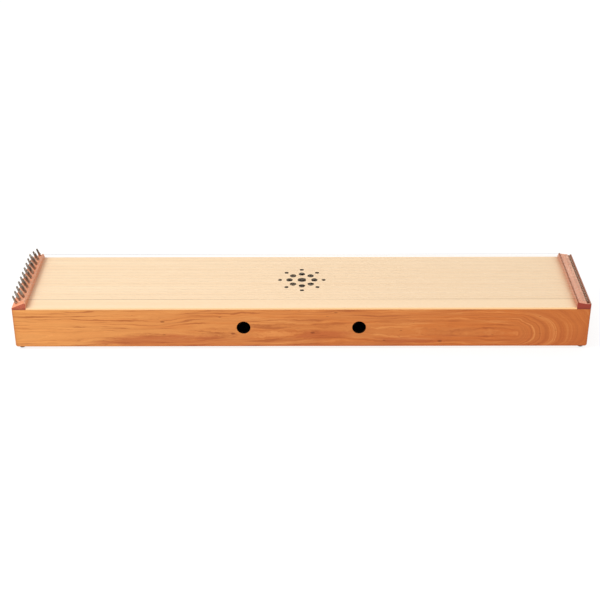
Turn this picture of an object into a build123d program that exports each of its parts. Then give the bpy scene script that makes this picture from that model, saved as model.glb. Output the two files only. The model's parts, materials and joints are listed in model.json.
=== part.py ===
"""A 30-string monochord zither: a long shallow sound box with a rail of tuning pins and a rail of hitch pins.

Frame: +X runs along the strings from the tuning pins (-X) to the hitch pins (+X), -Y is the
front side with the two sound holes, +Z is up, and Z = 0 is the surface that the feet stand on.
Every dimension is in millimetres.
"""
from build123d import *
import math
import os

# ---- Box ----
LENGTH = 1220.0
WIDTH = 238.0
SIDE_HEIGHT = 90.0
SIDE_THICKNESS = 8.0
END_THICKNESS = 6.0
BOTTOM_THICKNESS = 4.0
SOUNDBOARD_THICKNESS = 4.0
CORNER_RADIUS = 5.0  # lower corners of the box, seen from the front
EDGE_RADIUS = 2.0  # rounded outer edges of the sides
SOUNDBOARD_EDGE_RADIUS = 1.5

# ---- Feet ----
FOOT_HEIGHT = 6.0
FOOT_DIAMETER = 12.0
FOOT_TOP_DIAMETER = 13.0
FOOT_FROM_END = 11.5
FOOT_FROM_FRONT = 13.0
SCREW_DIAMETER = 3.0
SCREW_HEAD_DIAMETER = 5.6
SCREW_HEAD_HEIGHT = 1.8
SCREW_LENGTH = 14.0
SCREW_HEAD_DEPTH = 2.5  # from the sole of the foot up to the screw head
SCREW_CLEARANCE = 0.2
PILOT_CLEARANCE = 0.02

# ---- Rails ----
RAIL_WIDTH = 30.0
RAIL_EDGE_RADIUS = 0.8
RAIL_CORNER_RADIUS = 2.0
LAND_WIDTH = 3.6
LAND_HEIGHT = 15.2  # the flat that carries the saddle rod, above the rim
TUNING_RAIL_OUTER_HEIGHT = 4.0
HITCH_RAIL_LOW_HEIGHT = 12.0
GROOVE_WIDTH = 6.0
GROOVE_LIP = 3.0
GROOVE_FLOOR_HEIGHT = 6.5
GROOVE_END_WALL = 3.5
BACK_BEVEL_LENGTH = 8.0  # the rails' back ends slope down to the back edge
BACK_BEVEL_DEPTH = 11.0

# ---- Saddle rods ----
ROD_DIAMETER = 3.0
ROD_RISE = 0.5  # rod axis above the land
ROD_SET_BACK = 0.6  # from the rail's front end and from the top of its back bevel
FIT = 0.01

# ---- Strings ----
STRING_COUNT = 30
STRING_PITCH = 7.25
STRING_DIAMETER = 0.45
LOOP_CLEARANCE = 0.15

# ---- Tuning pins ----
PIN_DIAMETER = 5.0
PIN_BORE_CLEARANCE = 0.05
PIN_ABOVE_RAIL = 18.5
PIN_BELOW_RAIL = 25.0
PIN_LEAN = 20.0  # degrees, outwards
PIN_ROWS_FROM_END = (8.0, 15.0, 22.0)
PIN_BORE_EXTRA_DEPTH = 0.6
HEAD_LENGTH = 11.0
HEAD_SIDE_TOP = 3.0
HEAD_SIDE_BOTTOM = 4.2
HEAD_CHAMFER = 0.35
STRING_HOLE_DIAMETER = 1.0
STRING_HOLE_HEIGHT = 5.7
STRING_EXIT_HEIGHT = 2.7  # where the string leaves the pin, along the pin above the rail
WINDING_TURNS = 4
WINDING_CLEARANCE = 0.05

# ---- Hitch pins ----
HITCH_PIN_DIAMETER = 1.8
HITCH_PIN_TOP_HEIGHT = 13.5
HITCH_PIN_DEPTH = 6.0
HITCH_PIN_DOME = 0.4
LOOP_HEIGHT = 12.2

# ---- Blocks, linings and braces inside the box ----
PIN_BLOCK_LENGTH = 46.0
PIN_BLOCK_HEIGHT = 28.0
HITCH_BLOCK_LENGTH = 38.0
HITCH_BLOCK_HEIGHT = 24.0
LINING_THICKNESS = 10.0
LINING_HEIGHT = 12.0
TOP_BRACE_PLACES = (-400.0, -200.0, 200.0, 400.0)
TOP_BRACE_WIDTH = 9.0
TOP_BRACE_HEIGHT = 18.0
BOTTOM_BRACE_PLACES = (-300.0, 0.0, 300.0)
BOTTOM_BRACE_WIDTH = 12.0
BOTTOM_BRACE_HEIGHT = 14.0

# ---- Sound holes ----
SIDE_HOLE_DIAMETER = 29.5
SIDE_HOLE_FROM_MIDDLE = 122.5
SIDE_HOLE_BELOW_RIM = 43.4
ROSETTE_RIGHT_OF_MIDDLE = 1.5
ROSETTE_FROM_FRONT = 126.0
ROSETTE_MIDDLE_DIAMETER = 19.0
ROSETTE_RINGS = ((27.2, 14.2), (47.6, 9.0))  # ring radius and hole diameter
ROSETTE_HOLES_IN_RING = 8

# ---- Worked out from the dimensions above ----
RIM = FOOT_HEIGHT + SIDE_HEIGHT  # top of the side panels
BOX_BOTTOM = FOOT_HEIGHT
HALF_LENGTH = LENGTH / 2
HALF_WIDTH = WIDTH / 2
INNER_HALF_LENGTH = HALF_LENGTH - END_THICKNESS
INNER_HALF_WIDTH = HALF_WIDTH - SIDE_THICKNESS
SOUNDBOARD_HALF_LENGTH = HALF_LENGTH - RAIL_WIDTH
ROD_RADIUS = ROD_DIAMETER / 2
STRING_RADIUS = STRING_DIAMETER / 2
ROD_X = SOUNDBOARD_HALF_LENGTH + LAND_WIDTH / 2
ROD_Z = RIM + LAND_HEIGHT + ROD_RISE
PIN_RADIUS = PIN_DIAMETER / 2
WINDING_RADIUS = PIN_RADIUS + WINDING_CLEARANCE + STRING_RADIUS
HITCH_PIN_RADIUS = HITCH_PIN_DIAMETER / 2
LOOP_RADIUS = HITCH_PIN_RADIUS + LOOP_CLEARANCE + STRING_RADIUS
HITCH_X = HALF_LENGTH - GROOVE_LIP - GROOVE_WIDTH / 2
LEAN = math.radians(PIN_LEAN)


def block(x_low, x_high, y_low, y_high, z_low, z_high):
    """A rectangular solid between two corners."""
    size = Box(x_high - x_low, y_high - y_low, z_high - z_low)
    middle = ((x_low + x_high) / 2, (y_low + y_high) / 2, (z_low + z_high) / 2)
    return Pos(*middle) * size


def extruded_along_y(outline, y_low, y_high):
    """A solid whose X-Z section is the outline, a face drawn on Plane.XZ."""
    return Pos(0, y_high, 0) * extrude(outline, y_high - y_low)


def string_y(index):
    """Place of string number index across the box, counted from the front."""
    return (index - (STRING_COUNT - 1) / 2) * STRING_PITCH


def rail_height_at_pin(distance_from_end):
    """Height of the tuning rail's slope above the rim, at a distance from the rail's outer face."""
    rise = LAND_HEIGHT - TUNING_RAIL_OUTER_HEIGHT
    return TUNING_RAIL_OUTER_HEIGHT + rise * distance_from_end / (RAIL_WIDTH - LAND_WIDTH)


def pin_place(index):
    """Location of a tuning pin: its origin is on the rail's slope and its +Z runs up the pin."""
    from_end = PIN_ROWS_FROM_END[index % len(PIN_ROWS_FROM_END)]
    height = RIM + rail_height_at_pin(from_end)
    return Pos(from_end - HALF_LENGTH, string_y(index) + WINDING_RADIUS, height) * Rot(0, -PIN_LEAN, 0)


# ---- Sound box ----
def side_panel():
    """The front side without its sound holes. Its lower corners and outer edges are rounded."""
    height = SIDE_HEIGHT
    outline = Plane.XZ * Pos(0, BOX_BOTTOM + height / 2) * Rectangle(LENGTH, height)
    panel = extruded_along_y(outline, -HALF_WIDTH, -INNER_HALF_WIDTH)
    corners = panel.edges().filter_by(Axis.Y).group_by(Axis.Z)[0]
    panel = fillet(corners, CORNER_RADIUS)
    outer_face = panel.faces().sort_by(Axis.Y)[0]
    top_edge = outer_face.edges().sort_by(Axis.Z)[-1]
    rounded = [edge for edge in outer_face.edges() if edge != top_edge]
    return fillet(rounded, EDGE_RADIUS)


def front_side():
    panel = side_panel()
    for x in (-SIDE_HOLE_FROM_MIDDLE, SIDE_HOLE_FROM_MIDDLE):
        drill = Rot(90, 0, 0) * Cylinder(SIDE_HOLE_DIAMETER / 2, 3 * SIDE_THICKNESS)
        panel -= Pos(x, -HALF_WIDTH, RIM - SIDE_HOLE_BELOW_RIM) * drill
    return panel


def back_side():
    return mirror(side_panel(), Plane.XZ)


def left_end():
    """End panel between the two sides, with its lower edge rounded like the sides' corners."""
    panel = block(-HALF_LENGTH, -INNER_HALF_LENGTH, -INNER_HALF_WIDTH, INNER_HALF_WIDTH, BOX_BOTTOM, RIM)
    lower_edge = panel.edges().filter_by(Axis.Y).group_by(Axis.Z)[0].sort_by(Axis.X)[0]
    return fillet(lower_edge, CORNER_RADIUS)


def right_end():
    return mirror(left_end(), Plane.YZ)


def soundboard():
    """Spruce plate that lies on the sides' top edges between the rails, with a rosette of round holes."""
    top = RIM + SOUNDBOARD_THICKNESS
    half = SOUNDBOARD_HALF_LENGTH
    board = block(-half, half, -HALF_WIDTH, HALF_WIDTH, RIM, top)
    long_top_edges = board.edges().filter_by(Axis.X).group_by(Axis.Z)[-1]
    board = fillet(long_top_edges, SOUNDBOARD_EDGE_RADIUS)
    middle = Pos(ROSETTE_RIGHT_OF_MIDDLE, ROSETTE_FROM_FRONT - HALF_WIDTH, top)
    board -= middle * Cylinder(ROSETTE_MIDDLE_DIAMETER / 2, 3 * SOUNDBOARD_THICKNESS)
    for ring_radius, diameter in ROSETTE_RINGS:
        for place in PolarLocations(ring_radius, ROSETTE_HOLES_IN_RING):
            board -= middle * place * Cylinder(diameter / 2, 3 * SOUNDBOARD_THICKNESS)
    return board


def screw_places():
    x = HALF_LENGTH - FOOT_FROM_END
    y = HALF_WIDTH - FOOT_FROM_FRONT
    return [(-x, -y), (x, -y), (-x, y), (x, y)]


def pilot_holes():
    """The four narrow holes that the foot screws are driven into."""
    radius = SCREW_DIAMETER / 2 + PILOT_CLEARANCE
    top = SCREW_HEAD_DEPTH + SCREW_LENGTH + 1
    return [Pos(x, y, top / 2) * Cylinder(radius, top) for x, y in screw_places()]


def bottom_plate():
    """Thin plate let in between the sides and ends, flush with their lower edges."""
    plate = block(
        -INNER_HALF_LENGTH, INNER_HALF_LENGTH, -INNER_HALF_WIDTH, INNER_HALF_WIDTH,
        BOX_BOTTOM, BOX_BOTTOM + BOTTOM_THICKNESS,
    )
    for hole in pilot_holes():
        plate -= hole
    return plate


# ---- Rails ----
def back_bevel():
    """The wedge of wood that is cut from the top of a rail at its back end."""
    top = RIM + LAND_HEIGHT
    start = HALF_WIDTH - BACK_BEVEL_LENGTH
    end = start + 2 * BACK_BEVEL_LENGTH
    corners = [(start, top), (end, top - 2 * BACK_BEVEL_DEPTH), (end, top)]
    return extrude(make_face(Plane.YZ * Polyline(corners, close=True)), LENGTH, both=True)


def rounded_rail(rail, outer_x):
    """The rail with its outer corners and its outer top edge rounded and its back end bevelled."""
    upright = [edge for edge in rail.edges().filter_by(Axis.Z) if abs(edge.center().X - outer_x) < 0.01]
    rail = fillet(upright, RAIL_CORNER_RADIUS)
    long_top_edges = rail.edges().filter_by(Axis.Y).group_by(Axis.Z)[1:]
    outer_top = [edge for group in long_top_edges for edge in group if abs(edge.center().X - outer_x) < 0.01]
    return fillet(outer_top, RAIL_EDGE_RADIUS) - back_bevel()


def tuning_rail():
    """Wedge that rises from the left end to the saddle, bored for the tuning pins."""
    outer = -HALF_LENGTH
    inner = -SOUNDBOARD_HALF_LENGTH
    points = [
        (outer, RIM),
        (inner, RIM),
        (inner, RIM + LAND_HEIGHT),
        (inner - LAND_WIDTH, RIM + LAND_HEIGHT),
        (outer, RIM + TUNING_RAIL_OUTER_HEIGHT),
    ]
    outline = make_face(Plane.XZ * Polyline(points, close=True))
    rail = rounded_rail(extruded_along_y(outline, -HALF_WIDTH, HALF_WIDTH), outer)
    rail -= Pos(-ROD_X, 0, ROD_Z) * Rot(90, 0, 0) * Cylinder(ROD_RADIUS + FIT, 2 * WIDTH)
    return bored_for_pins(rail)


def hitch_rail():
    """Rail with a saddle land, a gentle slope and a groove that holds the hitch pins."""
    outer = HALF_LENGTH
    inner = SOUNDBOARD_HALF_LENGTH
    slope_end = outer - GROOVE_LIP - GROOVE_WIDTH
    points = [
        (inner, RIM),
        (outer, RIM),
        (outer, RIM + HITCH_RAIL_LOW_HEIGHT),
        (slope_end, RIM + HITCH_RAIL_LOW_HEIGHT),
        (inner + LAND_WIDTH, RIM + LAND_HEIGHT),
        (inner, RIM + LAND_HEIGHT),
    ]
    outline = make_face(Plane.XZ * Polyline(points, close=True))
    rail = rounded_rail(extruded_along_y(outline, -HALF_WIDTH, HALF_WIDTH), outer)
    rail -= Pos(ROD_X, 0, ROD_Z) * Rot(90, 0, 0) * Cylinder(ROD_RADIUS + FIT, 2 * WIDTH)
    groove_half_length = HALF_WIDTH - GROOVE_END_WALL
    rail -= block(
        slope_end, outer - GROOVE_LIP, -groove_half_length, groove_half_length,
        RIM + GROOVE_FLOOR_HEIGHT, RIM + LAND_HEIGHT,
    )
    bore = Cylinder(HITCH_PIN_RADIUS + FIT, 2 * HITCH_PIN_DEPTH)
    floor = RIM + GROOVE_FLOOR_HEIGHT
    return rail - [Pos(HITCH_X, string_y(index), floor) * bore for index in range(STRING_COUNT)]


def bored_for_pins(wood):
    """The wood with a leaning bore for each tuning pin."""
    depth = PIN_BELOW_RAIL + PIN_BORE_EXTRA_DEPTH
    length = depth + PIN_ABOVE_RAIL / 2
    drill = Pos(0, 0, length / 2 - depth) * Cylinder(PIN_RADIUS + PIN_BORE_CLEARANCE, length)
    return wood - [pin_place(index) * drill for index in range(STRING_COUNT)]


def saddle(x):
    """Metal rod that the strings cross, half sunk in the land of its rail."""
    front = ROD_SET_BACK - HALF_WIDTH
    back = HALF_WIDTH - BACK_BEVEL_LENGTH - ROD_SET_BACK
    return Pos(x, (front + back) / 2, ROD_Z) * Rot(90, 0, 0) * Cylinder(ROD_RADIUS, back - front)


# ---- Inside the box ----
def pin_block():
    inner = PIN_BLOCK_LENGTH - INNER_HALF_LENGTH
    wood = block(
        -INNER_HALF_LENGTH, inner, -INNER_HALF_WIDTH, INNER_HALF_WIDTH, RIM - PIN_BLOCK_HEIGHT, RIM,
    )
    return bored_for_pins(wood)


def hitch_block():
    inner = INNER_HALF_LENGTH - HITCH_BLOCK_LENGTH
    return block(
        inner, INNER_HALF_LENGTH, -INNER_HALF_WIDTH, INNER_HALF_WIDTH, RIM - HITCH_BLOCK_HEIGHT, RIM,
    )


def top_lining(side):
    """Strip that joins the soundboard to a side; side is -1 at the front and +1 at the back."""
    left = PIN_BLOCK_LENGTH - INNER_HALF_LENGTH
    right = INNER_HALF_LENGTH - HITCH_BLOCK_LENGTH
    strip = block(
        left, right, INNER_HALF_WIDTH - LINING_THICKNESS, INNER_HALF_WIDTH, RIM - LINING_HEIGHT, RIM,
    )
    return strip if side > 0 else mirror(strip, Plane.XZ)


def bottom_lining(side):
    """Strip that joins the bottom plate to a side, with the pilot holes for two foot screws."""
    low = BOX_BOTTOM + BOTTOM_THICKNESS
    y_edges = sorted((side * INNER_HALF_WIDTH, side * (INNER_HALF_WIDTH - LINING_THICKNESS)))
    strip = block(-INNER_HALF_LENGTH, INNER_HALF_LENGTH, *y_edges, low, low + LINING_HEIGHT)
    for hole in pilot_holes():
        strip -= hole
    return strip


def cross_braces(places, width, z_low, z_high):
    """Bars across the box between the linings, one at each place along X."""
    half = INNER_HALF_WIDTH - LINING_THICKNESS
    return [block(x - width / 2, x + width / 2, -half, half, z_low, z_high) for x in places]


def soundboard_braces():
    return cross_braces(TOP_BRACE_PLACES, TOP_BRACE_WIDTH, RIM - TOP_BRACE_HEIGHT, RIM)


def bottom_braces():
    low = BOX_BOTTOM + BOTTOM_THICKNESS
    return cross_braces(BOTTOM_BRACE_PLACES, BOTTOM_BRACE_WIDTH, low, low + BOTTOM_BRACE_HEIGHT)


# ---- Feet ----
def feet():
    """Four rubber feet, slightly wider at the top, recessed for their screws."""
    foot = Pos(0, 0, FOOT_HEIGHT / 2) * Cone(FOOT_DIAMETER / 2, FOOT_TOP_DIAMETER / 2, FOOT_HEIGHT)
    foot = fillet(foot.edges().sort_by(Axis.Z)[0], 1)
    recess = Cylinder(SCREW_HEAD_DIAMETER / 2 + SCREW_CLEARANCE, 2 * SCREW_HEAD_DEPTH + 0.01)
    foot -= recess
    foot -= Cylinder(SCREW_DIAMETER / 2 + SCREW_CLEARANCE, 3 * FOOT_HEIGHT)
    return [Pos(x, y, 0) * foot for x, y in screw_places()]


def foot_screws():
    """Pan-head screws; each head bears on the bottom of its foot's recess."""
    head_low = SCREW_HEAD_DEPTH - SCREW_HEAD_HEIGHT
    head = Pos(0, 0, head_low + SCREW_HEAD_HEIGHT / 2) * Cylinder(SCREW_HEAD_DIAMETER / 2, SCREW_HEAD_HEIGHT)
    head = fillet(head.edges().sort_by(Axis.Z)[0], 0.6)
    head -= Pos(0, 0, head_low) * Box(3.4, 0.7, 1.4)
    head -= Pos(0, 0, head_low) * Box(0.7, 3.4, 1.4)
    shank = Pos(0, 0, SCREW_HEAD_DEPTH + SCREW_LENGTH / 2) * Cylinder(SCREW_DIAMETER / 2, SCREW_LENGTH)
    return [Pos(x, y, 0) * (head + shank) for x, y in screw_places()]


# ---- Strings and pins ----
def hitch_pins():
    """Short round-topped pins, one for each string's loop."""
    low = RIM + GROOVE_FLOOR_HEIGHT - HITCH_PIN_DEPTH
    length = RIM + HITCH_PIN_TOP_HEIGHT - low
    pin = Pos(0, 0, low + length / 2) * Cylinder(HITCH_PIN_RADIUS, length)
    pin = fillet(pin.edges().sort_by(Axis.Z)[-1], HITCH_PIN_DOME)
    return [Pos(HITCH_X, string_y(index), 0) * pin for index in range(STRING_COUNT)]


def crest(from_x, from_z, rod_x):
    """Corner above a saddle rod where a string, coming up from a point, turns level."""
    bend = ROD_RADIUS + STRING_RADIUS + FIT
    across = abs(rod_x - from_x)
    rise = ROD_Z - from_z
    angle = math.atan2(rise, across) + math.asin(bend / math.hypot(across, rise))
    outward = math.copysign(bend * math.tan(angle / 2), rod_x)
    return rod_x + outward, ROD_Z + bend


def string_of_row(row):
    """A string at Y = 0 from a tuning pin of this row: one round wire with a loop at its right end."""
    from_end = PIN_ROWS_FROM_END[row]
    start_x = from_end - HALF_LENGTH - STRING_EXIT_HEIGHT * math.sin(LEAN)
    start_z = RIM + rail_height_at_pin(from_end) + STRING_EXIT_HEIGHT * math.cos(LEAN)
    loop_x = HITCH_X - LOOP_RADIUS
    loop_z = RIM + LOOP_HEIGHT
    left_crest = crest(start_x, start_z, -ROD_X)
    right_crest = crest(loop_x, loop_z, ROD_X)
    corners = [(start_x, start_z), left_crest, right_crest, (loop_x, loop_z)]
    bend = ROD_RADIUS + STRING_RADIUS + FIT
    path = FilletPolyline(*[(x, 0, z) for x, z in corners], radius=bend)
    wire = sweep(Plane(path @ 0, z_dir=path % 0) * Circle(STRING_RADIUS), path=path)
    loop = Pos(HITCH_X, 0, loop_z) * Torus(LOOP_RADIUS, STRING_RADIUS)
    return wire + loop


def strings():
    rows = [string_of_row(row) for row in range(len(PIN_ROWS_FROM_END))]
    return [Pos(0, string_y(index), 0) * rows[index % len(rows)] for index in range(STRING_COUNT)]


def bare_pin():
    """A tuning pin along +Z, with the rail's surface at Z = 0: shank, tapered square head, string hole."""
    length = PIN_ABOVE_RAIL + PIN_BELOW_RAIL
    shank = Pos(0, 0, PIN_ABOVE_RAIL - length / 2) * Cylinder(PIN_RADIUS, length)
    shank = chamfer(shank.edges().sort_by(Axis.Z)[0], 0.8)
    head_low = PIN_ABOVE_RAIL - HEAD_LENGTH
    square_low = Pos(0, 0, head_low) * Rectangle(HEAD_SIDE_BOTTOM, HEAD_SIDE_BOTTOM)
    square_top = Pos(0, 0, PIN_ABOVE_RAIL) * Rectangle(HEAD_SIDE_TOP, HEAD_SIDE_TOP)
    head = loft([square_low, square_top])
    head = chamfer(head.faces().sort_by(Axis.Z)[-1].edges(), HEAD_CHAMFER)
    around = Pos(0, 0, head_low + HEAD_LENGTH / 2) * Cylinder(2 * PIN_RADIUS, HEAD_LENGTH)
    pin = shank - (around - head)
    drill = Rot(0, 90, 0) * Cylinder(STRING_HOLE_DIAMETER / 2, 2 * PIN_DIAMETER)
    return pin - Pos(0, 0, STRING_HOLE_HEIGHT) * drill


def winding():
    """The turns of string on a tuning pin: one ridged sleeve just above where the string leaves."""
    low = STRING_EXIT_HEIGHT + STRING_RADIUS + WINDING_CLEARANCE
    inside = PIN_RADIUS + WINDING_CLEARANCE
    top = low + WINDING_TURNS * STRING_DIAMETER
    ridges = []
    for turn in range(WINDING_TURNS):
        foot = low + turn * STRING_DIAMETER
        ridges += [ThreePointArc(
            (WINDING_RADIUS, 0, foot),
            (WINDING_RADIUS + STRING_RADIUS, 0, foot + STRING_RADIUS),
            (WINDING_RADIUS, 0, foot + STRING_DIAMETER),
        )]
    back = Polyline((WINDING_RADIUS, 0, top), (inside, 0, top), (inside, 0, low), (WINDING_RADIUS, 0, low))
    return revolve(make_face(ridges + [back]), Axis.Z)


def write(name, shape):
    """One STEP file for a node; a list becomes a group of separate solids."""
    if isinstance(shape, list):
        shape = Compound(children=[Solid(piece.solids()[0].wrapped) for piece in shape])
    export_step(shape, f"parts/{name}.step")


os.makedirs("parts", exist_ok=True)
write("front_side", front_side())
write("back_side", back_side())
write("left_end", left_end())
write("right_end", right_end())
write("soundboard", soundboard())
write("bottom_plate", bottom_plate())
write("tuning_rail", tuning_rail())
write("hitch_rail", hitch_rail())
write("left_saddle", saddle(-ROD_X))
write("right_saddle", saddle(ROD_X))
write("pin_block", pin_block())
write("hitch_block", hitch_block())
write("front_top_lining", top_lining(-1))
write("back_top_lining", top_lining(1))
write("front_bottom_lining", bottom_lining(-1))
write("back_bottom_lining", bottom_lining(1))
write("soundboard_braces", soundboard_braces())
write("bottom_braces", bottom_braces())
write("feet", feet())
write("foot_screws", foot_screws())
write("hitch_pins", hitch_pins())
write("strings", strings())
pin = bare_pin()
coil = winding()
for index in range(STRING_COUNT):
    place = pin_place(index)
    write(f"tuning_pin_{index + 1:02d}", [place * pin, place * coil])
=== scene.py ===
"""The looks of a monochord zither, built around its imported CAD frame.

Everything is in metres, in the frame of the CAD: +X along the strings from the tuning pins to the
hitch pins, -Y the front side with the two sound holes, Z = 0 the surface that the feet stand on.
"""
import json
import math

import bmesh
import bpy
from mathutils import Matrix, Vector


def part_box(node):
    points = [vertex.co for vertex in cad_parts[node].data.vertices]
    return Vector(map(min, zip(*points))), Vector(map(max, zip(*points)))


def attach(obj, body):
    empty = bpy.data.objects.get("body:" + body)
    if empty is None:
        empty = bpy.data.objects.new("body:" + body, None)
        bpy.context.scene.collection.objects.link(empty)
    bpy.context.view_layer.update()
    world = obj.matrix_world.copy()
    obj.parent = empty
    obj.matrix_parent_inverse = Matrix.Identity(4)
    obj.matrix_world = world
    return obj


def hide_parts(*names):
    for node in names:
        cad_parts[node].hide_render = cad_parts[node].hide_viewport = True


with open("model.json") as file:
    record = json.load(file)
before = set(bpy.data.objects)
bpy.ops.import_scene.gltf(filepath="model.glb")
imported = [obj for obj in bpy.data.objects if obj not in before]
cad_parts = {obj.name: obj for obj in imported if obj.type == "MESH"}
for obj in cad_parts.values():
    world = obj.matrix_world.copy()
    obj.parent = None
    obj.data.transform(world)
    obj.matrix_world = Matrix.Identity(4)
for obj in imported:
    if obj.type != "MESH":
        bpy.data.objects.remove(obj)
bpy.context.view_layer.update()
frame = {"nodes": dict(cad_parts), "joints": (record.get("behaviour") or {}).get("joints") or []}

MM = 0.001


def srgb(red, green, blue):
    """A display colour, 0 to 255, as the linear colour that a shader takes."""
    def linear(value):
        value /= 255
        return value / 12.92 if value <= 0.04045 else ((value + 0.055) / 1.055) ** 2.4
    return (linear(red), linear(green), linear(blue), 1.0)


# ---- Camera ----
CAMERA_BEFORE_FRONT = 2.3714  # horizontal distance from the camera to the front side
CAMERA_ABOVE_RIM = 1.3296
CAMERA_LEFT = 0.0027
CAMERA_DOWN = math.radians(28.85)
CAMERA_ROLL = math.radians(-0.09)
SENSOR = 36.0
LENS = 77.52

# ---- Colours of the woods ----
CHERRY_LEFT = srgb(215, 145, 80)
CHERRY_RIGHT = srgb(183, 102, 48)
CHERRY_PALE = srgb(230, 160, 92)
CHERRY_ORANGE = srgb(204, 112, 44)
CHERRY_RED = srgb(166, 78, 42)
CHERRY_DARK = srgb(140, 64, 30)
# each mark or patch is an ellipse: middle length, middle z, half length, half height
GUM_MARKS = (
    (-0.294, 0.067, 0.006, 0.0025), (-0.145, 0.038, 0.006, 0.003), (0.024, 0.040, 0.006, 0.003),
    (0.295, 0.019, 0.006, 0.003),
)
RED_PATCHES = ((-0.28, 0.016, 0.150, 0.020), (0.035, 0.034, 0.075, 0.014), (0.25, 0.022, 0.105, 0.014))
SPRUCE_PALE = srgb(247, 222, 188)
SPRUCE_WARM = srgb(241, 211, 174)
SPRUCE_LINE = srgb(224, 180, 130)
SPRUCE_EDGE = srgb(236, 184, 126)
HOLE_SHADOW = srgb(14, 9, 7)  # painted shade, nearly black, for the inside of the box and the walls of its holes

# ---- Grain ----
CHERRY_RING = 0.0042  # from one growth ring to the next
CHERRY_FINE_RING = 0.0019
SPRUCE_RING = 0.0021
RAIL_RING = 0.0034

# ---- Places that the materials follow ----
BOX_HALF_LENGTH = 0.610
DARK_EDGE_START = 0.604
SIDE_INNER_FACE = 0.1112  # |y|, 0.2 mm into the side from its inner face
SOUND_HOLE_LOW, SOUND_HOLE_HIGH = 0.030, 0.075
SOUND_HOLE_REACH = 0.20  # |x| that holds both sound holes
ROSETTE_REACH = 0.10  # |x| that holds the rosette
BOARD_REACH = 0.115  # |y|, inside the soundboard's long edges
BOARD_DARK_BELOW = 0.0961  # 0.1 mm over the soundboard's underside
BOTTOM_DARK_ABOVE = 0.0095  # 0.5 mm under the bottom plate's upper face
RAIL_UPRIGHT_REACH = 0.585  # |x| that holds the rails' inner upright faces
GROOVE_START = 0.6005  # x, 0.5 mm before the hitch pins' groove
LIP_START = 0.6068  # x, 0.2 mm before the groove's outer lip
RAIL_END_FACE = 0.1184  # |y|, just inside the rails' end faces
OUTERMOST_STRING = 0.1015  # |y|, between the last string and the one before it
STRING_DULL_END = 0.579  # |x|, just inside the rails
PIN_RAIL_RISE = 0.4242  # rise of the tuning rail's top for each metre inwards
PIN_RAIL_EDGE = 0.1000  # height of its top at the end of the box

# ---- Strings and pins ----
STRING_RADIUS = 0.225 * MM
STRING_SIDES = 8
PIN_RADIUS = 2.5 * MM
WINDING_RADIUS = 2.775 * MM  # from the pin's axis to the middle of the wound wire
WINDING_TURNS = 4
STRING_EXIT = 2.7 * MM  # along the pin, above the rail
STRING_HOLE = 5.7 * MM
PIN_TOP = 18.5 * MM
PIN_FOOT = -25.0 * MM
HEAD_FOOT = 7.5 * MM
HEAD_HALF_TOP = 1.5 * MM
HEAD_HALF_FOOT = 2.1 * MM
THREAD_TOP = -1.0 * MM
THREAD_PITCH = 0.8 * MM
THREAD_DEPTH = 0.12 * MM
TWIST_TURNS = 7
TWIST_PITCH = 0.95 * MM
LOOP_GAP = 0.08 * MM


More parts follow.
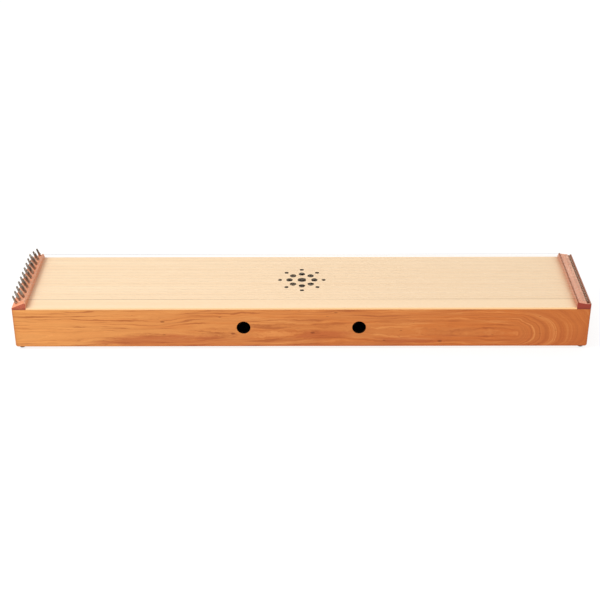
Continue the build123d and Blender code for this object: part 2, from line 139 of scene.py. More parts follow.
# ---- Shader helpers ----
class Shader:
    """A material with short calls that add its nodes; an input is a number, a tuple or a node's output."""

    def __init__(self, name):
        self.material = bpy.data.materials.new(name)
        self.material.use_nodes = True
        self.tree = self.material.node_tree
        self.surface = self.tree.nodes["Principled BSDF"]
        self.place = self.node("ShaderNodeTexCoord").outputs["Object"]

    def node(self, kind, inputs=None, **settings):
        made = self.tree.nodes.new(kind)
        for key, value in settings.items():
            setattr(made, key, value)
        for key, value in (inputs or {}).items():
            self.put(made.inputs[key], value)
        return made

    def put(self, socket, value):
        if isinstance(value, bpy.types.NodeSocket):
            self.tree.links.new(value, socket)
        else:
            socket.default_value = value

    def math(self, operation, first, second=0.0, third=0.0):
        made = self.node("ShaderNodeMath", {0: first, 1: second, 2: third}, operation=operation)
        return made.outputs[0]

    def times(self, first, second):
        return self.math("MULTIPLY", first, second)

    def axes(self):
        made = self.node("ShaderNodeSeparateXYZ", {0: self.place})
        return made.outputs[0], made.outputs[1], made.outputs[2]

    def facing(self, axis):
        """How squarely the surface faces along an axis, from 0 to 1."""
        normal = self.node("ShaderNodeTexCoord").outputs["Normal"]
        part = self.node("ShaderNodeSeparateXYZ", {0: normal}).outputs["xyz".index(axis)]
        return self.math("ABSOLUTE", part)

    def between(self, value, low, high):
        """1 where the value lies between two limits, otherwise 0."""
        return self.times(self.math("GREATER_THAN", value, low), self.math("LESS_THAN", value, high))

    def vector(self, x, y, z):
        return self.node("ShaderNodeCombineXYZ", {0: x, 1: y, 2: z}).outputs[0]

    def scaled(self, vector, scale, shift=(0, 0, 0)):
        made = self.node("ShaderNodeMapping", {"Vector": vector, "Scale": scale, "Location": shift})
        return made.outputs[0]

    def noise(self, vector, scale=1.0, detail=2.0, roughness=0.5):
        made = self.node("ShaderNodeTexNoise", {
            "Vector": vector, "Scale": scale, "Detail": detail, "Roughness": roughness,
        })
        return made.outputs["Fac"]

    def ramp(self, factor, *stops):
        """Each stop is (position, grey level) or (position, colour)."""
        made = self.node("ShaderNodeValToRGB", {"Fac": factor})
        elements = made.color_ramp.elements
        while len(elements) < len(stops):
            elements.new(0.5)
        for element, (position, value) in zip(elements, stops):
            element.position = position
            element.color = value if isinstance(value, tuple) else (value, value, value, 1)
        return made.outputs["Color"]

    def mix(self, factor, first, second, blend="MIX"):
        made = self.node("ShaderNodeMix", data_type="RGBA", blend_type=blend)
        self.put(made.inputs[0], factor)
        self.put(made.inputs[6], first)
        self.put(made.inputs[7], second)
        return made.outputs[2]

    def bump(self, height, distance):
        made = self.node("ShaderNodeBump", {"Height": height, "Distance": distance, "Strength": 1.0})
        self.put(self.surface.inputs["Normal"], made.outputs["Normal"])

    def finish(self, color=None, roughness=None, **sockets):
        if color is not None:
            self.put(self.surface.inputs["Base Color"], color)
        if roughness is not None:
            self.put(self.surface.inputs["Roughness"], roughness)
        for key, value in sockets.items():
            self.put(self.surface.inputs[key.replace("_", " ")], value)
        return self.material


# ---- Woods ----
def heart_rings(s, length, z, place):
    """Distance from a wandering heart line behind the panel's face; its contours are the growth rings."""
    sway = s.noise(s.scaled(place, (2.2, 3.0, 3.0)), detail=1.5)
    ripple = s.noise(s.scaled(place, (5.5, 30.0, 30.0), (3, 1, 7)), detail=3.0, roughness=0.55)
    jag = s.noise(s.scaled(place, (90.0, 160.0, 160.0), (6, 3, 2)), detail=2.0)
    end_lift = s.math("MAXIMUM", s.math("SUBTRACT", length, 0.46), 0.0)
    heart = s.math("MULTIPLY_ADD", sway, 0.030, 0.004)
    heart = s.math("MULTIPLY_ADD", end_lift, 0.44, heart)
    height = s.math("SUBTRACT", z, s.math("MULTIPLY_ADD", sway, 0.034, 0.034))
    height = s.math("MULTIPLY_ADD", ripple, 0.030, height)
    radius = s.math("SQRT", s.math("ADD", s.math("POWER", heart, 2.0), s.math("POWER", height, 2.0)))
    return s.math("MULTIPLY_ADD", jag, 0.0022, radius)


def along_box(s, length):
    """0 at the tuning end of the box and 1 at the hitch end."""
    return s.math("MULTIPLY_ADD", length, 0.82, 0.5)


def blotch(s, length, z, place, edge=0.0):
    """1 in the middle of an ellipse, falling to 0 at its rim; edge roughens the rim."""
    across = s.math("DIVIDE", s.math("SUBTRACT", length, place[0]), place[2])
    up = s.math("DIVIDE", s.math("SUBTRACT", z, place[1]), place[3])
    away = s.math("ADD", s.math("POWER", across, 2.0), s.math("POWER", up, 2.0))
    return s.ramp(s.math("ADD", away, edge), (0.2, 1.0), (1.0, 0.0))


def cherry(name, along, deep, start, marks=(), patches=()):
    """Flat-sawn cherry. along and deep name the axes that the grain and the panel's thickness follow.

    marks and patches are small dark gum marks and broad red patches, each as an ellipse for blotch().
    """
    s = Shader(name)
    x, y, z = s.axes()
    axis = {"x": x, "y": y, "z": z}
    length = s.math("ADD", axis[along], start)
    depth = axis[deep]
    place = s.vector(length, depth, z)
    radius = heart_rings(s, length, z, place)

    # growth rings, broken into streaks by a second noise along them
    rings = s.math("FRACT", s.times(radius, 1 / CHERRY_RING))
    late_wood = s.ramp(rings, (0.0, 0.2), (0.45, 0.0), (0.80, 0.5), (0.93, 1.0), (1.0, 0.2))
    fine_rings = s.math("FRACT", s.times(radius, 1 / CHERRY_FINE_RING))
    fine_late = s.ramp(fine_rings, (0.0, 0.0), (0.7, 0.5), (0.95, 1.0), (1.0, 0.0))
    ring_place = s.vector(s.times(length, 6.5), s.times(radius, 250.0), depth)
    streaks = s.noise(ring_place, detail=4.0, roughness=0.65)
    wide_place = s.vector(s.times(length, 4.0), s.times(radius, 80.0), depth)
    wide_streaks = s.noise(wide_place, detail=4.0, roughness=0.65)
    fibre = s.noise(s.scaled(place, (22.0, 900.0, 900.0)), detail=3.0, roughness=0.6)

    # the colour deepens from the tuning end towards the hitch end, partly the wood's own tone and partly
    # painted shade, and it deepens below the middle
    to_right = s.ramp(along_box(s, length), (0.08, 0.0), (0.5, 0.62), (0.95, 1.0))
    color = s.mix(to_right, CHERRY_LEFT, CHERRY_RIGHT)
    wave = s.times(s.math("SUBTRACT", wide_streaks, 0.5), 5.0)
    low = s.math("MULTIPLY_ADD", s.math("SUBTRACT", 0.052, z), 24.0, wave)
    from_left = s.ramp(along_box(s, length), (0.10, 0.0), (0.24, 1.0))
    redness = s.times(s.times(s.ramp(low, (0.05, 0.0), (0.8, 1.0)), from_left), 0.30)
    for patch in patches:
        redness = s.math("MAXIMUM", redness, s.times(blotch(s, length, z, patch, wave), 0.62))
    color = s.mix(redness, color, CHERRY_RED)
    orange_streaks = s.ramp(wide_streaks, (0.44, 0.0), (0.58, 1.0))
    orange = s.times(orange_streaks, s.math("MULTIPLY_ADD", to_right, 0.22, 0.12))
    away_from_end = s.ramp(length, (0.44, 1.0), (0.50, 0.35))
    color = s.mix(s.times(orange, away_from_end), color, CHERRY_ORANGE)
    dark_streaks = s.ramp(streaks, (0.53, 0.0), (0.64, 1.0))
    dark_streaks = s.times(dark_streaks, s.math("MULTIPLY_ADD", away_from_end, 0.34, 0.22))
    color = s.mix(dark_streaks, color, CHERRY_DARK)
    color = s.mix(s.times(s.ramp(streaks, (0.34, 1.0), (0.46, 0.0)), 0.32), color, CHERRY_PALE)
    late_streaks = s.times(late_wood, s.ramp(streaks, (0.35, 0.2), (0.6, 1.0)))
    color = s.mix(s.times(late_streaks, 0.30), color, CHERRY_DARK)
    color = s.mix(s.times(fine_late, 0.14), color, CHERRY_DARK)
    color = s.mix(0.22, color, s.ramp(fibre, (0.3, 0.35), (0.7, 0.75)), "SOFT_LIGHT")

    # gum marks, a few of them large enough to be seen from afar
    fleck_field = s.noise(s.scaled(place, (60.0, 210.0, 210.0), (11, 0, 4)), detail=1.0)
    fleck = s.ramp(fleck_field, (0.735, 0.0), (0.79, 1.0))
    for mark in marks:
        fleck = s.math("MAXIMUM", fleck, blotch(s, length, z, mark))
    color = s.mix(s.times(fleck, 0.6), color, srgb(104, 44, 20))

    # darker edges; the walls of the sound holes and the inner face are painted shade, nearly black, so the
    # holes look dark
    ends = s.ramp(s.math("ABSOLUTE", length), (DARK_EDGE_START, 0.0), (BOX_HALF_LENGTH, 1.0))
    edge = s.math("MAXIMUM", ends, s.ramp(z, (0.006, 1.0), (0.011, 0.0)))
    color = s.mix(s.times(edge, 0.35), color, CHERRY_DARK)
    wall = s.times(s.math("LESS_THAN", s.facing(deep), 0.5), s.between(z, SOUND_HOLE_LOW, SOUND_HOLE_HIGH))
    wall = s.times(wall, s.math("LESS_THAN", s.math("ABSOLUTE", length), SOUND_HOLE_REACH))
    inner = s.math("LESS_THAN", s.math("ABSOLUTE", y), SIDE_INNER_FACE) if deep == "y" else 0.0
    color = s.mix(s.math("MAXIMUM", wall, inner), color, HOLE_SHADOW)
    s.bump(s.math("ADD", fibre, s.times(late_wood, 0.4)), 0.00006)
    rough = s.math("MULTIPLY_ADD", fibre, 0.12, 0.42)
    return s.finish(color, rough, Specular_IOR_Level=0.12)


def spruce(name):
    """Quarter-sawn spruce: close straight lines along X, with darker long edges.

    A brown band beside each rail stands in for a shadow. The underside and the walls of the rosette's
    holes are painted shade, nearly black, so that the holes look dark.
    """
    s = Shader(name)
    x, y, z = s.axes()
    place = s.vector(x, y, z)
    wander = s.noise(s.scaled(place, (1.3, 5.0, 5.0)), detail=2.0)
    across = s.math("MULTIPLY_ADD", wander, 0.010, y)
    spacing = s.noise(s.vector(0.0, s.times(y, 16.0), 0.0), detail=2.0)
    phase = s.math("MULTIPLY_ADD", spacing, 7.0, s.times(across, 1 / SPRUCE_RING))
    line = s.ramp(s.math("FRACT", phase), (0.0, 0.15), (0.35, 0.0), (0.78, 0.55), (0.92, 1.0), (1.0, 0.15))
    band = s.noise(s.vector(s.times(x, 0.7), s.times(across, 60.0), 0.0), detail=3.0)
    fibre = s.noise(s.scaled(place, (14.0, 1100.0, 1100.0)), detail=3.0, roughness=0.6)
    silk = s.noise(s.scaled(place, (38.0, 120.0, 120.0), (2, 9, 4)), detail=2.0)
    color = s.mix(s.ramp(band, (0.3, 0.0), (0.7, 1.0)), SPRUCE_PALE, SPRUCE_WARM)
    color = s.mix(s.times(line, 0.24), color, SPRUCE_LINE)
    color = s.mix(s.times(s.ramp(silk, (0.55, 0.0), (0.8, 1.0)), 0.12), color, srgb(255, 240, 216))
    color = s.mix(0.12, color, s.ramp(fibre, (0.3, 0.35), (0.7, 0.7)), "SOFT_LIGHT")
    to_right = s.ramp(along_box(s, x), (0.1, 0.0), (0.6, 1.0))
    color = s.mix(s.times(to_right, 0.35), color, SPRUCE_WARM)
    beside_rail = s.ramp(s.math("ABSOLUTE", x), (0.562, 0.0), (0.572, 0.25), (0.580, 1.0))
    color = s.mix(s.times(beside_rail, 0.55), color, srgb(186, 124, 82))
    edge = s.ramp(s.facing("y"), (0.35, 0.0), (0.8, 1.0))
    color = s.mix(s.times(edge, s.math("MULTIPLY_ADD", to_right, 0.3, 0.6)), color, SPRUCE_EDGE)

    near_rosette = s.math("LESS_THAN", s.math("ABSOLUTE", x), ROSETTE_REACH)
    wall = s.times(s.math("LESS_THAN", s.facing("z"), 0.5), near_rosette)
    wall = s.times(wall, s.math("LESS_THAN", s.math("ABSOLUTE", y), BOARD_REACH))
    underside = s.math("LESS_THAN", z, BOARD_DARK_BELOW)
    color = s.mix(s.math("MAXIMUM", wall, underside), color, HOLE_SHADOW)
    s.bump(s.math("ADD", fibre, s.times(line, -0.5)), 0.00005)
    rough = s.math("MULTIPLY_ADD", fibre, 0.1, 0.50)
    return s.finish(color, rough, Specular_IOR_Level=0.12)


def rail_wood(name, light, dark, end_grain):
    """Pinkish-red hardwood with its grain along Y and darker end grain on the two small end faces."""
    s = Shader(name)
    x, y, z = s.axes()
    place = s.vector(x, y, z)
    wander = s.noise(s.scaled(place, (12.0, 4.0, 12.0)), detail=2.0)
    across = s.math("ADD", x, s.times(z, 0.6))
    across = s.math("MULTIPLY_ADD", wander, 0.010, across)
    rings = s.math("FRACT", s.times(across, 1 / RAIL_RING))
    line = s.ramp(rings, (0.0, 0.2), (0.4, 0.0), (0.88, 1.0), (1.0, 0.2))
    cloud = s.noise(s.scaled(place, (34.0, 9.0, 34.0), (4, 1, 6)), detail=3.0)
    pores = s.noise(s.scaled(place, (1300.0, 55.0, 1300.0)), detail=2.0, roughness=0.6)
    color = s.mix(s.ramp(cloud, (0.3, 0.0), (0.7, 1.0)), light, dark)
    color = s.mix(s.times(line, 0.22), color, srgb(176, 92, 62))
    color = s.mix(s.times(s.ramp(pores, (0.62, 0.0), (0.74, 1.0)), 0.3), color, srgb(138, 66, 44))

    # painted shade darkens the inner upright face and the pin groove; the groove's lip is darker too
    inwards = s.math("LESS_THAN", s.math("ABSOLUTE", x), RAIL_UPRIGHT_REACH)
    upright = s.times(s.ramp(s.facing("x"), (0.7, 0.0), (0.95, 1.0)), inwards)
    color = s.mix(s.times(upright, 0.35), color, srgb(150, 92, 62))
    groove = s.math("GREATER_THAN", x, GROOVE_START)
    color = s.mix(s.times(groove, 0.45), color, srgb(160, 104, 78))
    lip = s.math("GREATER_THAN", x, LIP_START)
    color = s.mix(s.times(lip, 0.80), color, srgb(146, 94, 72))

    # the end faces are darker
    front = s.math("GREATER_THAN", s.math("ABSOLUTE", y), RAIL_END_FACE)
    speckle = s.noise(s.scaled(place, (700.0, 30.0, 700.0), (8, 8, 8)), detail=3.0)
    ends = s.mix(s.ramp(speckle, (0.35, 0.0), (0.65, 1.0)), end_grain, srgb(120, 48, 34))
    ends = s.mix(0.6, end_grain, ends)
    ends = s.mix(s.times(s.ramp(z, (0.0965, 1.0), (0.0995, 0.0)), 0.6), ends, srgb(84, 34, 22))
    color = s.mix(front, color, ends)
    s.bump(pores, 0.00005)
    rough = s.math("MULTIPLY_ADD", cloud, 0.12, 0.38)
    return s.finish(color, rough, Specular_IOR_Level=0.18)


def plain_wood(name, light, dark, along, dark_above=None):
    """Unfinished wood; along is 0 for grain along X and 1 along Y.

    Above the height dark_above, it is painted shade, nearly black, like the rest of the inside that shows
    through the holes.
    """
    s = Shader(name)
    stretch = [160.0, 160.0, 160.0]
    stretch[along] = 6.0
    grain = s.noise(s.scaled(s.place, tuple(stretch)), detail=4.0, roughness=0.6)
    fibre = s.noise(s.scaled(s.place, tuple(6 * value for value in stretch)), detail=2.0)
    color = s.mix(s.ramp(grain, (0.3, 0.0), (0.7, 1.0)), light, dark)
    if dark_above is not None:
        darkened = s.math("GREATER_THAN", s.axes()[2], dark_above)
        color = s.mix(darkened, color, HOLE_SHADOW)
    s.bump(fibre, 0.00008)
    return s.finish(color, 0.7)


# ---- Metals and rubber ----
def metal(name, light, dark, rough, grain_scale):
    """Metal with a fine worked surface and slight tarnish."""
    s = Shader(name)
    tarnish = s.noise(s.place, 900.0, detail=3.0)
    brushing = s.noise(s.scaled(s.place, grain_scale), detail=3.0, roughness=0.65)
    color = s.mix(s.ramp(tarnish, (0.35, 0.0), (0.7, 1.0)), light, dark)
    s.bump(brushing, 0.00002)
    roughness = s.math("MULTIPLY_ADD", brushing, 0.25, rough - 0.12)
    return s.finish(color, roughness, Metallic=1.0)


def wire(name):
    """Bright music wire; the two outermost strings are drawn duller, most of all towards their ends."""
    s = Shader(name)
    x, y, _ = s.axes()
    tarnish = s.noise(s.place, 900.0, detail=3.0)
    brushing = s.noise(s.scaled(s.place, (40.0, 2000.0, 2000.0)), detail=3.0, roughness=0.65)
    color = s.mix(s.ramp(tarnish, (0.35, 0.0), (0.7, 1.0)), srgb(222, 208, 190), srgb(200, 185, 166))
    outermost = s.math("GREATER_THAN", s.math("ABSOLUTE", y), OUTERMOST_STRING)
    towards_ends = s.ramp(s.math("ABSOLUTE", x), (0.08, 0.45), (0.30, 1.0))
    outermost = s.times(outermost, s.math("LESS_THAN", s.math("ABSOLUTE", x), STRING_DULL_END))
    color = s.mix(s.times(outermost, towards_ends), color, srgb(84, 80, 76))
    s.bump(brushing, 0.00002)
    return s.finish(color, s.math("MULTIPLY_ADD", brushing, 0.25, 0.22), Metallic=1.0)


def rubber(name):
    s = Shader(name)
    grain = s.noise(s.place, 2600.0, detail=3.0)
    dust = s.noise(s.place, 160.0, detail=3.0)
    color = s.mix(s.ramp(dust, (0.4, 0.0), (0.75, 1.0)), srgb(22, 21, 21), srgb(48, 46, 44))
    s.bump(grain, 0.00006)
    return s.finish(color, 0.68)


def paint(node, material):
    """Gives a CAD node its material."""
    for slot in frame["nodes"][node].material_slots:
        slot.material = material


# ---- Mesh helpers ----
def new_object(name, mesh, material):
    mesh.materials.clear()
    mesh.materials.append(material)
    made = bpy.data.objects.new(name, mesh)
    bpy.context.scene.collection.objects.link(made)
    return made


def smooth(mesh, degrees):
    mesh.shade_smooth()
    mesh.set_sharp_from_angle(angle=math.radians(degrees))


def lathe(profile, sides):
    """A closed mesh from (radius, height) points turned about Z; the first and last are on the axis."""
    build = bmesh.new()
    rows = []
    for radius, height in profile[1:-1]:
        turns = (math.tau * step / sides for step in range(sides))
        rows.append([build.verts.new((radius * math.cos(t), radius * math.sin(t), height)) for t in turns])
    foot = build.verts.new((0, 0, profile[0][1]))
    top = build.verts.new((0, 0, profile[-1][1]))
    for step in range(sides):
        after = (step + 1) % sides
        build.faces.new((foot, rows[0][after], rows[0][step]))
        build.faces.new((top, rows[-1][step], rows[-1][after]))
        for lower, upper in zip(rows, rows[1:]):
            build.faces.new((lower[step], lower[after], upper[after], upper[step]))
    mesh = bpy.data.meshes.new("lathe")
    build.to_mesh(mesh)
    build.free()
    return mesh


def combined(base, other, operation):
    """The mesh of base after a boolean with other; both helper objects are removed."""
    step = base.modifiers.new("cut", "BOOLEAN")
    step.operation = operation
    step.solver = "EXACT"
    step.object = other
    bpy.context.view_layer.update()
    view = bpy.context.evaluated_depsgraph_get()
    mesh = bpy.data.meshes.new_from_object(base.evaluated_get(view))
    bpy.data.objects.remove(base)
    bpy.data.objects.remove(other)
    return mesh


def helper(mesh):
    made = bpy.data.objects.new("helper", mesh)
    bpy.context.scene.collection.objects.link(made)
    return made


def tube(name, lines, radius, material):
    """Round wires along lines of points, each line closed at both ends, as one mesh object."""
    build = bmesh.new()
    for points in lines:
        rings = []
        side = None
        for index, point in enumerate(points):
            before = points[max(index - 1, 0)]
            after = points[min(index + 1, len(points) - 1)]
            ahead = (after - before).normalized()
            if side is None:
                side = ahead.orthogonal().normalized()
            side = (side - ahead * side.dot(ahead)).normalized()
            up = ahead.cross(side)
            ring = []
            for step in range(STRING_SIDES):
                turn = math.tau * step / STRING_SIDES
                ring.append(build.verts.new(point + radius * (math.cos(turn) * side + math.sin(turn) * up)))
            rings.append(ring)
        for first, second in zip(rings, rings[1:]):
            for step in range(STRING_SIDES):
                after = (step + 1) % STRING_SIDES
                build.faces.new((first[step], first[after], second[after], second[step]))
        build.faces.new(list(reversed(rings[0])))
        build.faces.new(rings[-1])
    mesh = bpy.data.meshes.new(name)
    build.to_mesh(mesh)
    build.free()
    smooth(mesh, 50)
    return new_object(name, mesh, material)


# ---- Tuning pins ----
def pin_mesh():
    """A zither pin along +Z with the rail's surface at Z = 0: threaded shank, square head, string hole."""
    height = PIN_FOOT + 0.8 * MM
    profile = [(0, PIN_FOOT), (PIN_RADIUS - 0.6 * MM, PIN_FOOT), (PIN_RADIUS - THREAD_DEPTH, height)]
    while height < THREAD_TOP - THREAD_PITCH:
        profile.append((PIN_RADIUS, height + THREAD_PITCH / 2))
        profile.append((PIN_RADIUS - THREAD_DEPTH, height + THREAD_PITCH))
        height += THREAD_PITCH
    profile += [(PIN_RADIUS, THREAD_TOP), (PIN_RADIUS, PIN_TOP - 0.3 * MM)]
    profile += [(PIN_RADIUS - 0.3 * MM, PIN_TOP), (0, PIN_TOP)]
    shank = helper(lathe(profile, 32))

    # the square head: a tapered block that keeps all of the shank below it
    levels = [
        (PIN_FOOT - MM, 2 * PIN_RADIUS), (HEAD_FOOT - 0.7 * MM, 2 * PIN_RADIUS), (HEAD_FOOT, HEAD_HALF_FOOT),
        (PIN_TOP - 0.4 * MM, HEAD_HALF_TOP), (PIN_TOP + 0.001 * MM, HEAD_HALF_TOP - 0.35 * MM),
    ]
    build = bmesh.new()
    rows = []
    for level, half in levels:
        corners = ((-half, -half), (half, -half), (half, half), (-half, half))
        rows.append([build.verts.new((x, y, level)) for x, y in corners])
    build.faces.new(list(reversed(rows[0])))
    build.faces.new(rows[-1])
    for lower, upper in zip(rows, rows[1:]):
        for step in range(4):
            after = (step + 1) % 4
            build.faces.new((lower[step], lower[after], upper[after], upper[step]))
    block = bpy.data.meshes.new("block")
    build.to_mesh(block)
    build.free()
    squared = helper(combined(shank, helper(block), "INTERSECT"))

    reach = 2 * PIN_RADIUS
    hole = 0.5 * MM
    drill = lathe([(0, -reach), (hole, -reach), (hole, reach), (0, reach)], 16)
    drill.transform(Matrix.Translation((0, 0, STRING_HOLE)) @ Matrix.Rotation(math.pi / 2, 4, "Y"))
    mesh = combined(squared, helper(drill), "DIFFERENCE")
    smooth(mesh, 25)
    return mesh


def winding_points():
    """The wire on a pin: from the pin's -Y side it climbs in close turns and ends in the string hole."""
    points = []
    steps = 24
    start = -math.pi / 2
    total = WINDING_TURNS + 0.25
    for step in range(int(total * steps) + 1):
        turn = step / steps
        angle = start - turn * math.tau
        level = STRING_EXIT + turn * 2.04 * STRING_RADIUS
        points.append(Vector((WINDING_RADIUS * math.cos(angle), WINDING_RADIUS * math.sin(angle), level)))
    # the last stretch rises to the hole on the pin's -X side and turns into it
    top = points[-1].z
    for part in (0.2, 0.4, 0.6, 0.8, 1.0):
        angle = start - (total + 0.75 * part) * math.tau
        level = top + (STRING_HOLE - top) * part ** 1.3
        reach = WINDING_RADIUS + 0.12 * MM * math.sin(part * math.pi)
        points.append(Vector((reach * math.cos(angle), reach * math.sin(angle), level)))
    last = points[-1]
    inward = Vector((-last.x, -last.y, 0)).normalized()
    points.append(last + inward * 0.5 * MM)
    points.append(last + inward * 2.2 * MM)
    return points


def place_of(joint):
    """The matrix that takes a pin drawn along +Z at the origin to a tuning pin's place."""
    down = Vector(joint["axis"])
    up = -down
    across = Vector((0, 1, 0))
    side = across.cross(up)
    turn = Matrix((side, across, up)).transposed().to_4x4()
    return Matrix.Translation(joint["pos_m"]) @ turn


def pin_metal(name):
    """Dull plated steel: brown shank, greyer square head."""
    s = Shader(name)
    x, _, z = s.axes()
    slope = s.math("MULTIPLY_ADD", s.math("ADD", x, BOX_HALF_LENGTH), PIN_RAIL_RISE, PIN_RAIL_EDGE)
    height = s.math("SUBTRACT", z, slope)
    tarnish = s.noise(s.place, 900.0, detail=3.0)
    brushing = s.noise(s.scaled(s.place, (300.0, 300.0, 1500.0)), detail=3.0, roughness=0.65)
    shank = s.mix(s.ramp(tarnish, (0.35, 0.0), (0.7, 1.0)), srgb(190, 160, 138), srgb(134, 104, 86))
    head = s.mix(s.ramp(tarnish, (0.35, 0.0), (0.7, 1.0)), srgb(158, 148, 136), srgb(108, 98, 88))
    color = s.mix(s.ramp(s.times(height, 46.0), (0.30, 0.0), (0.52, 1.0)), shank, head)
    s.bump(brushing, 0.00002)
    return s.finish(color, s.math("MULTIPLY_ADD", brushing, 0.25, 0.14), Metallic=1.0)


def make_pins(pin_steel, wire_steel):
    shape = pin_mesh()
    wire = tube("winding", [winding_points()], STRING_RADIUS, wire_steel)
    wire_mesh = wire.data
    bpy.data.objects.remove(wire)
    for joint in frame["joints"]:
        body = joint["child"]
        place = place_of(joint)
        pin_shape = shape.copy()
        pin_shape.transform(place)
        pin = new_object(body + "_steel", pin_shape, pin_steel)
        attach(pin, body)
        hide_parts("tuning_" + body)
        coil_shape = wire_mesh.copy()
        coil_shape.transform(place)
        coil = new_object(body + "_winding", coil_shape, wire_steel)
        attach(coil, body)


# ---- Strings ----
def over_rod(rod, start_angle, end_angle):
    """Points of an arc over a saddle rod; angles are from straight up, positive towards +X."""
    reach = rod["radius"] + STRING_RADIUS
    steps = 8
    points = []
    for step in range(steps + 1):
        angle = start_angle + (end_angle - start_angle) * step / steps
        points.append((rod["x"] + reach * math.sin(angle), rod["z"] + reach * math.cos(angle)))
    return points


def lean_to(rod, x, z):
    """Angle from straight up at which a string from the point (x, z) meets the rod."""
    reach = rod["radius"] + STRING_RADIUS
    across, rise = abs(rod["x"] - x), rod["z"] - z
    return math.atan2(rise, across) + math.asin(reach / math.hypot(across, rise))


def rod_of(node):
    low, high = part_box(node)
    return {"x": (low.x + high.x) / 2, "z": (low.z + high.z) / 2, "radius": (high.z - low.z) / 2}


def string_points(joint, left, right, hitch_x, loop_z, hitch_radius):
    """One string: from its pin, over both rods, round its hitch pin, and twisted back on itself."""
    place = place_of(joint)
    start = place @ Vector((0, -WINDING_RADIUS, STRING_EXIT))
    y = start.y
    loop_radius = hitch_radius + LOOP_GAP + STRING_RADIUS
    knot_x = hitch_x - 3.4 * loop_radius
    left_angle = lean_to(left, start.x, start.z)
    right_angle = lean_to(right, knot_x, loop_z)
    profile = [(start.x, start.z)] + over_rod(left, -left_angle, 0) + over_rod(right, 0, right_angle)
    points = [Vector((x, y, z)) for x, z in profile]

    # a straight run to the knot, then a loop round the hitch pin that starts and ends at the knot
    knot = Vector((knot_x, y, loop_z))
    points.append(knot)
    centre = Vector((hitch_x, y, loop_z))
    open_half = math.radians(128)
    steps = 20
    for step in range(steps + 1):
        angle = -open_half + 2 * open_half * step / steps
        points.append(centre + loop_radius * Vector((math.cos(angle), math.sin(angle), 0)))
    points.append(knot + Vector((0, 2 * STRING_RADIUS, 0)))

    # the end of the wire wraps round the string, back towards the saddle
    back = (points[len(profile) - 1] - knot).normalized()
    side = Vector((0, 1, 0))
    up = back.cross(side)
    steps_in_turn = 12
    for step in range(1, TWIST_TURNS * steps_in_turn + 1):
        turn = step / steps_in_turn
        angle = turn * math.tau
        along = knot + back * (turn * TWIST_PITCH)
        points.append(along + 2.05 * STRING_RADIUS * (math.cos(angle) * side + math.sin(angle) * up))
    return points


def make_strings(wire_steel):
    left, right = rod_of("left_saddle"), rod_of("right_saddle")
    low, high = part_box("hitch_pins")
    hitch_x = (low.x + high.x) / 2
    hitch_radius = (high.x - low.x) / 2
    loop_z = high.z - 1.3 * MM
    lines = [
        string_points(joint, left, right, hitch_x, loop_z, hitch_radius) for joint in frame["joints"]
    ]
    made = tube("strings_steel", lines, STRING_RADIUS, wire_steel)
    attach(made, "root")
    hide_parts("strings")


# ---- Light, floor and camera ----
def area_light(name, place, target, size, power):
    light = bpy.data.lights.new(name, "AREA")
    light.shape = "RECTANGLE"
    light.size, light.size_y = size
    light.energy = power
    made = bpy.data.objects.new(name, light)
    made.location = place
    made.rotation_mode = "QUATERNION"
    made.rotation_quaternion = (Vector(target) - Vector(place)).to_track_quat("-Z", "Y")
    bpy.context.scene.collection.objects.link(made)


def make_studio():
    world = bpy.data.worlds.new("studio")
    bpy.context.scene.world = world
    world.use_nodes = True
    world.node_tree.nodes["Background"].inputs["Color"].default_value = (1, 1, 1, 1)
    world.node_tree.nodes["Background"].inputs["Strength"].default_value = 0.72
    area_light("key", (-2.2, -0.9, 2.4), (0, 0, 0.05), (1.3, 1.3), 44)
    area_light("fill", (0.6, -3.4, 0.9), (0, 0, 0.05), (3.2, 1.6), 36)
    area_light("back", (0.4, 2.4, 2.4), (0, 0, 0.05), (3.0, 1.4), 20)
    bpy.context.scene.view_settings.view_transform = "Standard"

    # a floor that mostly glows stays white beside the box
    s = Shader("floor")
    cloud = s.noise(s.place, 1.5, detail=2.0)
    color = s.mix(cloud, (0.24, 0.24, 0.24, 1), (0.26, 0.26, 0.26, 1))
    glow = {"Emission_Color": (1, 1, 1, 1), "Emission_Strength": 0.80}
    material = s.finish(color, 0.9, Specular_IOR_Level=0.0, **glow)
    mesh = bpy.data.meshes.new("floor")
    half = 45.0
    corners = [(-half, -half, 0), (half, -half, 0), (half, half, 0), (-half, half, 0)]
    mesh.from_pydata(corners, [], [(0, 1, 2, 3)])
    new_object("floor", mesh, material)


def make_camera():
    front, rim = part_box("front_side")[0].y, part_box("front_side")[1].z
    data = bpy.data.cameras.new("camera")
    data.sensor_width = SENSOR
    data.lens = LENS
    data.clip_end = 100
    camera = bpy.data.objects.new("camera", data)
    camera.location = (-CAMERA_LEFT, front - CAMERA_BEFORE_FRONT, rim + CAMERA_ABOVE_RIM)
    down = Matrix.Rotation(math.pi / 2 - CAMERA_DOWN, 4, "X")
    roll = Matrix.Rotation(CAMERA_ROLL, 4, "Z")
    camera.matrix_world = Matrix.Translation(camera.location) @ down @ roll
    bpy.context.scene.collection.objects.link(camera)
    bpy.context.scene.camera = camera


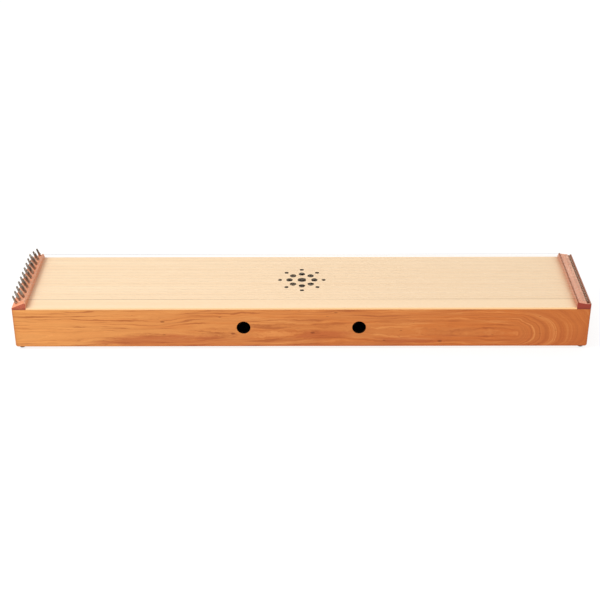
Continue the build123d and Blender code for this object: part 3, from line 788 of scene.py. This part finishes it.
# ---- The CAD nodes' materials ----
side_cherry = cherry("front_cherry", "x", "y", 0.0, GUM_MARKS, RED_PATCHES)
end_cherry = cherry("end_cherry", "y", "x", 0.9)
paint("front_side", side_cherry)
paint("back_side", side_cherry)
paint("left_end", end_cherry)
paint("right_end", end_cherry)
paint("soundboard", spruce("soundboard_spruce"))
orange_red = rail_wood("tuning_rail_wood", srgb(244, 166, 124), srgb(232, 148, 108), srgb(190, 100, 72))
pink_red = rail_wood("hitch_rail_wood", srgb(240, 178, 148), srgb(222, 150, 120), srgb(152, 58, 42))
paint("tuning_rail", orange_red)
paint("hitch_rail", pink_red)
birch = plain_wood("bottom_birch", srgb(214, 176, 128), srgb(194, 150, 100), 0, BOTTOM_DARK_ABOVE)
paint("bottom_plate", birch)
for node in ("pin_block", "hitch_block"):
    paint(node, plain_wood(node + "_beech", srgb(206, 160, 116), srgb(180, 130, 88), 1))
for node in ("front_top_lining", "back_top_lining"):
    paint(node, plain_wood(node + "_spruce", srgb(230, 200, 156), srgb(206, 168, 118), 0))
for node in ("front_bottom_lining", "back_bottom_lining"):
    paint(node, plain_wood(node + "_spruce", srgb(230, 200, 156), srgb(206, 168, 118), 0, 0.0))
paint("soundboard_braces", plain_wood("top_brace_spruce", srgb(230, 200, 156), srgb(206, 168, 118), 1))
paint("bottom_braces", plain_wood("bottom_brace_spruce", srgb(230, 200, 156), srgb(206, 168, 118), 1, 0.0))
# painted light: the two saddle rods are one metal; the left's light salmon is a painted reflection of warm
# light, the right's dark brown a painted reflection of the dark wood
paint("left_saddle", metal("left_rod_painted_light", srgb(236, 176, 142), srgb(206, 140, 108), 0.34, (900.0, 30.0, 900.0)))
paint("right_saddle", metal("right_rod_painted_shade", srgb(172, 104, 74), srgb(146, 84, 58), 0.34, (900.0, 30.0, 900.0)))
hitch_steel = metal("hitch_steel", srgb(232, 206, 180), srgb(196, 164, 138), 0.36, (500.0, 500.0, 500.0))
paint("hitch_pins", hitch_steel)
paint("foot_screws", metal("zinc", srgb(190, 190, 188), srgb(140, 140, 140), 0.35, (400.0, 400.0, 400.0)))
paint("feet", rubber("foot_rubber"))

pin_steel = pin_metal("pin_steel")
wire_steel = wire("wire_steel")
coil_steel = metal("coil_steel", srgb(160, 124, 100), srgb(120, 86, 66), 0.34, (900.0, 900.0, 900.0))
make_pins(pin_steel, coil_steel)
make_strings(wire_steel)
make_studio()
make_camera()
